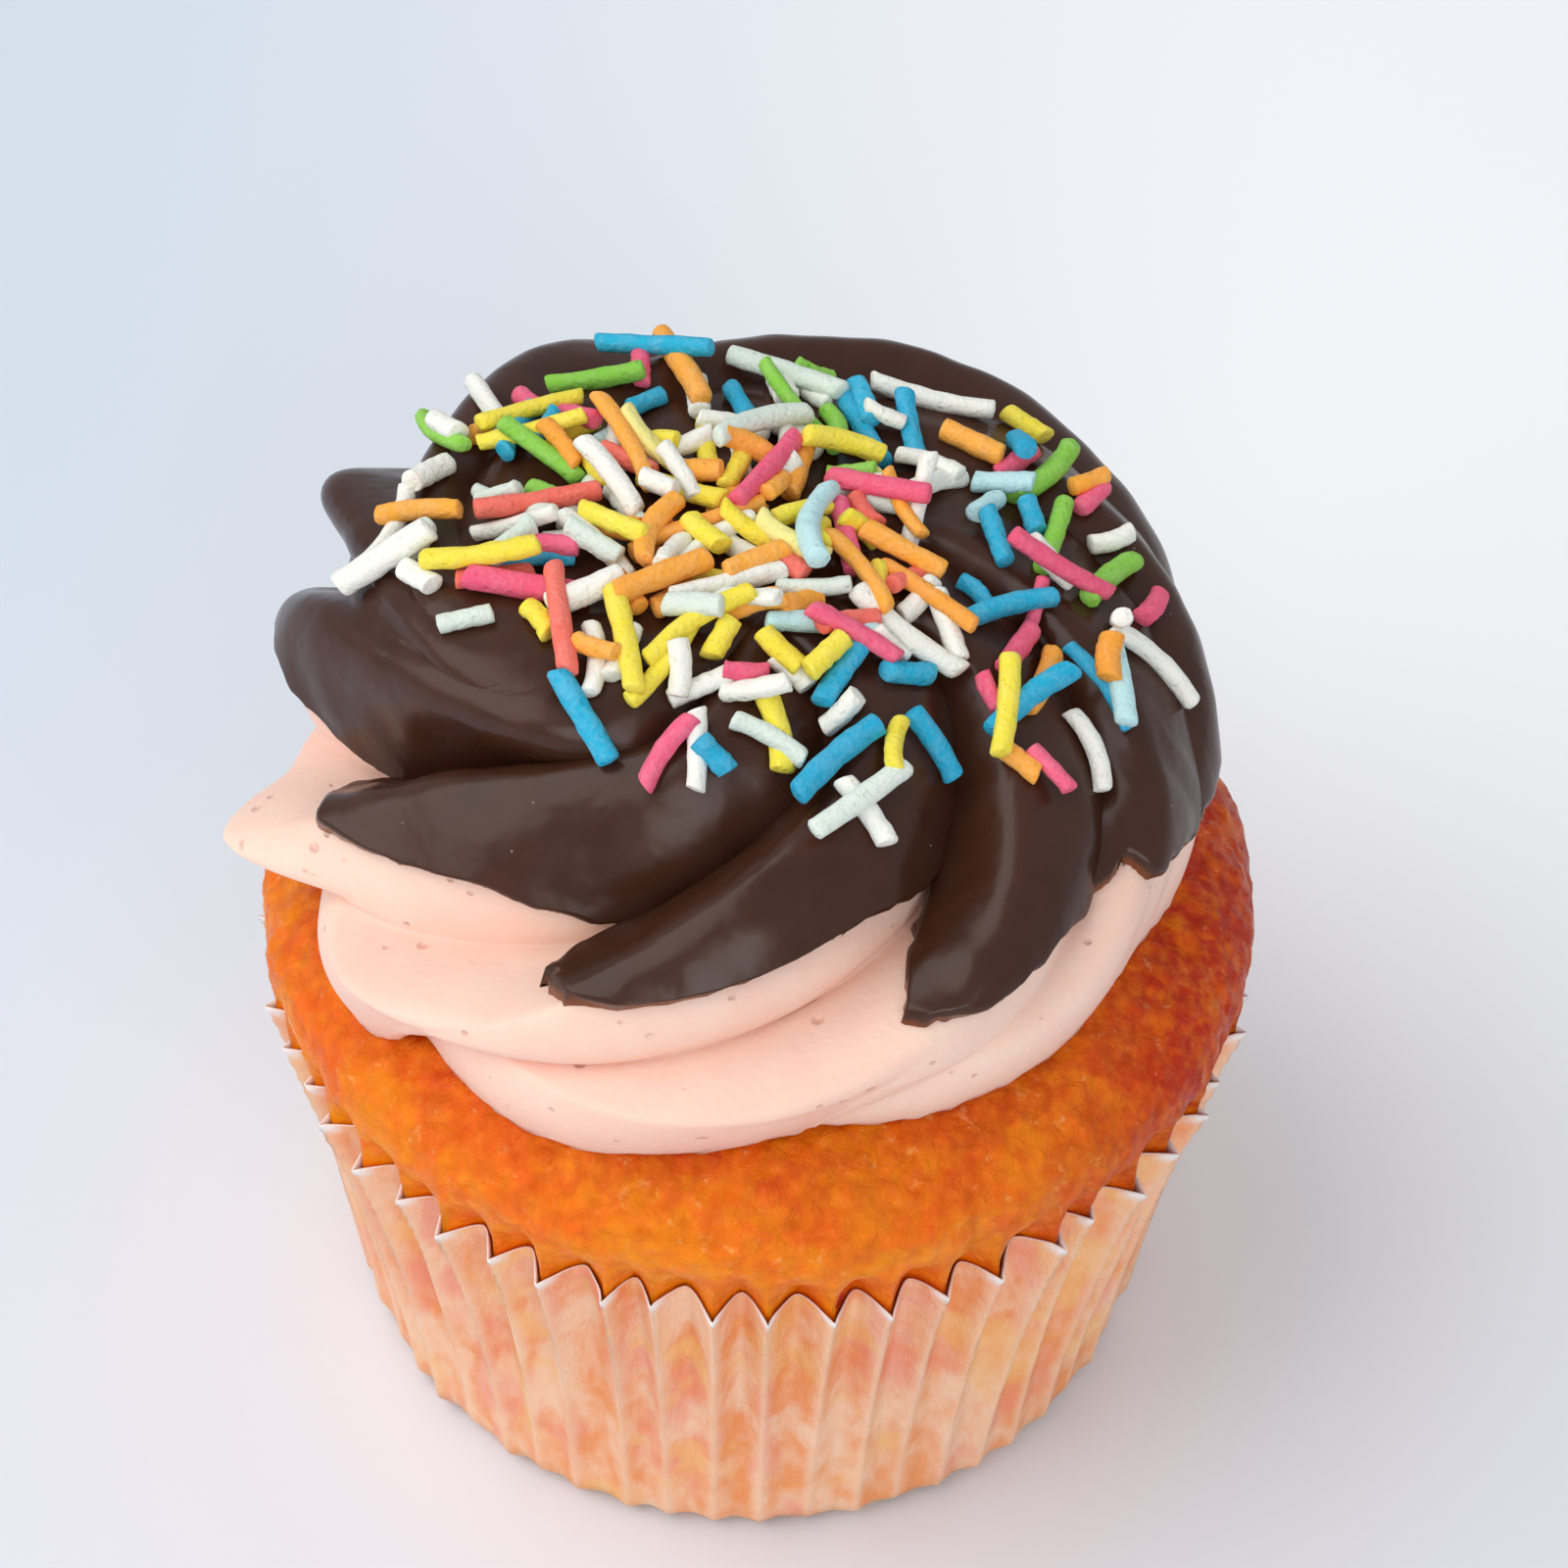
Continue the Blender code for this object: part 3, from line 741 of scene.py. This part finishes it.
def makeCoat():
    index, along = swirlColumns(coat["broad"], coat["steep"])
    start = dipRises(index, along)
    # rows close up near the edge, so that it rounds off finely
    steps = (np.arange(coat["rows"]) / coat["rows"]) ** 1.35
    rises = start[None, :] + (1 - start[None, :]) * steps[:, None]
    base = swirlSurface(index[None, :], along[None, :], rises)
    base = smoothGrid(base, coat["soften"])
    normals = smoothGrid(gridNormals(base), 4, keepFirst=False)
    normals = normals / np.linalg.norm(normals, axis=-1, keepdims=True)
    run = np.concatenate([np.zeros((1, base.shape[1])),
                          np.cumsum(np.linalg.norm(np.diff(base, axis=0), axis=-1), axis=0)])
    inside = np.clip(run / coat["lip"], 0, 1)
    lip = np.sqrt(1 - (1 - inside) ** 2)
    waves = coat["waves"] * noiseAt(base, 5 * mm, 8.0, 2) * inside
    outer = base + normals * (coat["thickness"] * lip + waves - 0.15 * mm * (1 - inside))[..., None]
    inner = base[::6] - normals[::6] * 0.35 * mm
    full = np.concatenate([inner[::-1], outer])
    columns = full.shape[1]
    tip = swirl["top"] + coat["thickness"]
    points = np.concatenate([full.reshape(-1, 3), [[0, 0, tip], [0, 0, swirl["top"] - 0.4 * mm]]])
    faces = gridFaces(len(full), columns)
    last = (len(full) - 1) * columns
    top, under = len(points) - 2, len(points) - 1
    faces += [(last + c, last + (c + 1) % columns, top) for c in range(columns)]
    faces += [((c + 1) % columns, c, under) for c in range(columns)]
    piece = newPiece("chocolateDip", points, faces, [chocolateMaterial()], "chocolate_coat")
    edge = np.concatenate([np.ones(inner.shape[:2]), 1 - np.clip(run / (0.5 * mm), 0, 1)])
    addMask(piece, "edge", np.append(edge.ravel(), [0, 1]))
    return piece


coatPiece = makeCoat()
print("chocolate made")


# sugar rods

rods = {
    "radius": 0.63 * mm,
    "radiusSpread": 0.10,
    "settle": 0.62,  # rods in a heap press this share of their height into it
    "sides": 14,
    "rings": 13,
    "bend": 0.16,  # at most, as a share of a rod's length
    "grain": 0.045 * mm,
    "sink": 0.12 * mm,
    "steepest": 1.6,
    "cell": 0.3 * mm,
    "reach": 33.0 * mm,
    "shortest": 2.6 * mm,
    "longest": 8.0 * mm,
    "lengthBias": 1.7,  # above 1, short ones are the more common
    "heaping": 0.6,  # below 0.5, a patch thickens at its rim; above it, at its middle
    "tries": 4,  # spots drawn for each rod, the lowest lying of which is kept
    "hold": 0.38,  # share of its length either side of its middle that must lie over chocolate
    "seed": 21,
}

rodColours = {
    "white": (0.90, 0.90, 0.83),
    "mint": (0.74, 0.83, 0.75),
    "ice": (0.52, 0.80, 0.83),
    "blue": (0.001, 0.42, 0.66),
    "yellow": (0.93, 0.78, 0.045),
    "lemon": (0.90, 0.82, 0.28),
    "orange": (0.96, 0.41, 0.035),
    "pink": (0.86, 0.105, 0.22),
    "salmon": (0.90, 0.17, 0.12),
    "green": (0.26, 0.62, 0.055),
}

# Where they fall: each patch's middle and spread in millimetres, how many, and the colours by weight.
patches = {
    "heap": dict(middle=(-3, 4), spread=(14, 11), count=84, colours={
        "white": 5, "yellow": 4, "orange": 4, "lemon": 1, "mint": 1, "salmon": 1, "pink": 1, "ice": 1}),
    "back": dict(middle=(0, 17), spread=(19, 6), count=32, colours={
        "white": 4, "mint": 2, "ice": 2, "blue": 2, "orange": 2, "green": 2, "pink": 1, "yellow": 1}),
    "left": dict(middle=(-16, 7), spread=(8, 11), count=28, colours={
        "white": 4, "mint": 2, "yellow": 2, "orange": 2, "salmon": 1, "pink": 1, "blue": 1, "green": 1}),
    "right": dict(middle=(14, 4), spread=(10, 13), count=38, colours={
        "white": 3, "pink": 3, "blue": 2, "green": 2, "ice": 1, "orange": 1, "yellow": 1}),
    "front": dict(middle=(2, -9), spread=(13, 5), count=15, colours={
        "white": 3, "mint": 2, "yellow": 1, "orange": 1, "pink": 1, "blue": 1}),
}


def rodMaterial(name, colour):
    material, tree, shader = newMaterial(name + "Sugar", 0.78)
    point = objectPoint(tree)
    chalk = mottle(tree, point, 900.0, 3000.0, 0.5)
    paler = tuple(mix(c, 0.92, 0.25) for c in colour)
    shade = mixColour(tree, mathNode(tree, "MULTIPLY", chalk, 0.35), colour, paler)
    deeper = tuple(c * c * 0.55 + c * 0.35 for c in colour)
    shade = mixColour(tree, stretch(tree, readMask(tree, "tone"), 0.0, 1.0, 0.0, 0.28), shade, deeper)
    # small pits, painted darker as painted shade inside them, and pressed in by the bump below
    pits = specks(tree, point, 1500.0, 0.30, 0.15, 0.35)
    shade = mixColour(tree, mathNode(tree, "MULTIPLY", pits, 0.16), shade, deeper)
    tree.links.new(shade, shader.inputs["Base Color"])
    shader.inputs["Subsurface Weight"].default_value = 0.12
    shader.inputs["Subsurface Scale"].default_value = 0.0008
    height = mathNode(tree, "SUBTRACT", chalk, mathNode(tree, "MULTIPLY", pits, 0.8))
    bump(tree, shader, height, 0.00010, 0.7)
    return material


def heightsUnder(piece):
    # the heights of a piece's top on a square grid, seen from above
    mesh = piece.data
    tree = BVHTree.FromPolygons([v.co for v in mesh.vertices], [f.vertices[:] for f in mesh.polygons])
    steps = np.arange(-rods["reach"], rods["reach"], rods["cell"])
    heights = np.zeros((len(steps), len(steps)))
    for i, x in enumerate(steps):
        for j, y in enumerate(steps):
            hit = tree.ray_cast(Vector((x, y, 0.1)), Vector((0, 0, -1)))[0]
            heights[i, j] = hit.z if hit else 0
    return heights


def cellsAt(x, y):
    top = int(2 * rods["reach"] / rods["cell"]) - 1
    steps = ((np.array([x, y]) + rods["reach"]) / rods["cell"]).round().astype(int)
    return tuple(np.clip(steps, 0, top))


def restingEnds(heights, x, y, heading, length, radius):
    # a straight rod dropped here comes to rest on the two highest points it bridges
    away = np.linspace(-0.5, 0.5, 15) * length
    across = np.array([-0.7, 0.0, 0.7]) * radius
    spotX = x + away[:, None] * math.cos(heading) - across * math.sin(heading)
    spotY = y + away[:, None] * math.sin(heading) + across * math.cos(heading)
    need = (heights[cellsAt(spotX, spotY)] + np.sqrt(radius**2 - across**2)).max(axis=1)
    best, slope = need[7], (need[9] - need[5]) / (away[9] - away[5])
    for left in range(7):
        for right in range(8, 15):
            tilt = (need[right] - need[left]) / (away[right] - away[left])
            middle = need[left] - tilt * away[left]
            if middle > best:
                best, slope = middle, tilt
    slope = max(-rods["steepest"], min(rods["steepest"], slope))
    half = length / 2 / math.hypot(1, slope)
    along = Vector((math.cos(heading), math.sin(heading), slope)) * half
    middle = Vector((x, y, best - rods["sink"]))
    return middle - along, middle + along


def addToHeights(heights, start, end, radius):
    # the next rods may come to rest on this one
    steps = np.arange(-rods["reach"], rods["reach"], rods["cell"])
    gridX, gridY = np.meshgrid(steps, steps, indexing="ij")
    run = np.array([end.x - start.x, end.y - start.y])
    flat = max(run @ run, 1e-9)
    share = ((gridX - start.x) * run[0] + (gridY - start.y) * run[1]) / flat
    inside = np.clip(share, 0, 1)
    gap = np.hypot(gridX - start.x - inside * run[0], gridY - start.y - inside * run[1])
    rise = mix(start.z, end.z, inside) + np.sqrt(np.maximum(radius**2 - gap**2, 0))
    rise = heights + (rise - heights) * rods["settle"]
    np.copyto(heights, np.maximum(heights, rise), where=gap < radius)


def rodShape(start, end, radius, rng):
    # a rod's points, ring by ring and a tip at each end; it may be bent, and its ends are rough
    sides, rings = rods["sides"], rods["rings"]
    axis = end - start
    length = axis.length
    forward = axis.normalized()
    side = forward.cross(Vector((0, 0, 1)))
    side = side.normalized() if side.length > 0.01 else Vector((1, 0, 0))
    frameOf = np.array([forward, side, side.cross(forward)])
    away = np.concatenate([[-0.5, -0.485], np.linspace(-0.44, 0.44, rings - 4), [0.485, 0.5]])
    thick = np.concatenate([[0.80, 0.97], 1 + rng.normal(0, 0.035, rings - 4), [0.97, 0.80]])
    bend = rods["bend"] * rng.uniform(-1, 1) * rng.uniform(0, 1)
    turn = np.arange(sides) / sides * 2 * np.pi
    oval = 1 + 0.07 * np.cos(2 * turn + rng.uniform(0, 6)) + 0.03 * rng.normal(size=sides)
    local = np.zeros((rings, sides, 3))
    slant = rng.uniform(-0.35, 0.35, 2) * radius
    endPull = np.outer(np.clip(-away * 12 - 5, 0, 1), np.cos(turn)) * slant[0]
    endPull += np.outer(np.clip(away * 12 - 5, 0, 1), np.cos(turn)) * slant[1]
    local[..., 0] = away[:, None] * length + endPull
    local[..., 1] = thick[:, None] * oval * np.cos(turn) * radius + (bend * length * (4 * away**2 - 0.5))[:, None]
    local[..., 2] = thick[:, None] * oval * np.sin(turn) * radius
    tips = np.array([[-0.5 * length - 0.12 * radius, local[0, :, 1].mean(), 0],
                     [0.5 * length + 0.12 * radius, local[-1, :, 1].mean(), 0]])
    points = np.concatenate([local.reshape(-1, 3), tips])
    core = np.concatenate([np.repeat(local.mean(axis=1), sides, axis=0), tips * [0.9, 1, 1]])
    outward = points - core
    outward /= np.maximum(np.linalg.norm(outward, axis=1, keepdims=True), 1e-9)
    points = points + outward * (rods["grain"] * noiseAt(points + rng.uniform(0, 1), 0.55 * mm, 3.0, 3))[:, None]
    return points @ frameOf + np.array((start + end) / 2)


def rodFaces(start):
    sides, rings = rods["sides"], rods["rings"]
    faces = gridFaces(rings, sides, start)
    head = start + rings * sides
    last = start + (rings - 1) * sides
    faces += [(start + (c + 1) % sides, start + c, head) for c in range(sides)]
    faces += [(last + c, last + (c + 1) % sides, head + 1) for c in range(sides)]
    return faces


def isOverCoat(bare, x, y, heading, length):
    away = np.array([-rods["hold"], 0, rods["hold"]]) * length
    return bare[cellsAt(x + away * math.cos(heading), y + away * math.sin(heading))].min() > 0


def dropRod(bare, heights, patch, length, radius, rng):
    # draws a few spots in the patch and keeps the one where the rod lies closest to the chocolate
    best = None
    for _ in range(rods["tries"]):
        away, turn = rng.uniform() ** rods["heaping"], rng.uniform(0, 2 * math.pi)
        x = (patch["middle"][0] + patch["spread"][0] * away * math.cos(turn)) * mm
        y = (patch["middle"][1] + patch["spread"][1] * away * math.sin(turn)) * mm
        heading = rng.uniform(0, math.pi)
        if isOverCoat(bare, x, y, heading, length):
            ends = restingEnds(heights, x, y, heading, length, radius)
            lift = (ends[0].z + ends[1].z) / 2 - bare[cellsAt(x, y)]
            if best is None or lift < best[0]:
                best = (lift, ends)
    return best and best[1]


def layRods():
    # every rod's ends and radius by colour; the patches fall mixed together, not one over another
    rng = np.random.default_rng(rods["seed"])
    bare = heightsUnder(coatPiece)
    heights = bare.copy()
    fall = [name for name, patch in patches.items() for _ in range(patch["count"])]
    laid = {colour: [] for colour in rodColours}
    for name in rng.permutation(fall):
        patch = patches[name]
        weights = np.array(list(patch["colours"].values())) / sum(patch["colours"].values())
        colour = list(patch["colours"])[rng.choice(len(weights), p=weights)]
        length = mix(rods["shortest"], rods["longest"], rng.uniform() ** rods["lengthBias"])
        radius = rods["radius"] * (1 + rods["radiusSpread"] * rng.normal())
        ends = dropRod(bare, heights, patch, length, radius, rng)
        if ends:
            addToHeights(heights, *ends, radius)
            laid[colour].append((*ends, radius))
    return laid


def makeRods():
    rng = np.random.default_rng(rods["seed"] + 1)
    for colour, placed in layRods().items():
        points, faces, tones = [], [], []
        for start, end, radius in placed:
            shape = rodShape(start, end, radius, rng)
            faces += rodFaces(sum(len(p) for p in points))
            points.append(shape)
            tones.append(np.full(len(shape), rng.uniform()))
        material = rodMaterial(colour, rodColours[colour])
        piece = newPiece(colour + "SugarRods", np.concatenate(points), faces, [material])
        addMask(piece, "tone", np.concatenate(tones))


makeRods()
print("sugar rods laid")


# floor and light

floorLook = {"size": 3.0, "left": (0.64, 0.73, 0.84), "right": (0.93, 0.95, 0.98), "front": (0.76, 0.79, 0.87)}


def makeFloor():
    half = floorLook["size"] / 2
    mesh = bpy.data.meshes.new("floor")
    mesh.from_pydata([(-half, -half, 0), (half, -half, 0), (half, half, 0), (-half, half, 0)], [], [(0, 1, 2, 3)])
    material, tree, shader = newMaterial("paleFloor", 0.6)
    parts = addNode(tree, "ShaderNodeSeparateXYZ", links={"Vector": objectPoint(tree)})
    # the floor's colour is painted darker and bluer to the left and towards the front, and lighter to the right, as
    # painted light falloff
    across = stretch(tree, parts.outputs["X"], -0.09, 0.05)
    colour = mixColour(tree, across, floorLook["left"], floorLook["right"])
    nearer = stretch(tree, parts.outputs["Y"], 0.06, -0.06)
    colour = mixColour(tree, nearer, colour, floorLook["front"])
    tree.links.new(colour, shader.inputs["Base Color"])
    mesh.materials.append(material)
    floor = bpy.data.objects.new("floor", mesh)
    bpy.context.scene.collection.objects.link(floor)
    floor.location.z = -0.0001


def addSoftLight(name, place, aim, size, watts, colour):
    data = bpy.data.lights.new(name, "AREA")
    data.shape = "SQUARE"
    data.size = size
    data.energy = watts
    data.color = colour
    lamp = bpy.data.objects.new(name, data)
    bpy.context.scene.collection.objects.link(lamp)
    lamp.location = place
    lamp.rotation_euler = (Vector(aim) - Vector(place)).to_track_quat("-Z", "Y").to_euler()


def makeLight():
    world = bpy.data.worlds.new("softRoom")
    bpy.context.scene.world = world
    world.use_nodes = True
    sky = world.node_tree.nodes["Background"]
    sky.inputs["Color"].default_value = (0.93, 0.96, 1.0, 1)
    sky.inputs["Strength"].default_value = 0.54
    addSoftLight("windowLeft", (-0.62, -0.10, 0.75), (0, 0, 0.03), 1.1, 6.9, (1.0, 0.98, 0.95))
    addSoftLight("cardFront", (0.15, -0.75, 0.45), (0, 0, 0.03), 0.5, 2.2, (1.0, 0.98, 0.96))


makeFloor()
makeLight()
bpy.context.scene.view_settings.view_transform = "Standard"
print("floor and light set")

bpy.context.view_layer.update()
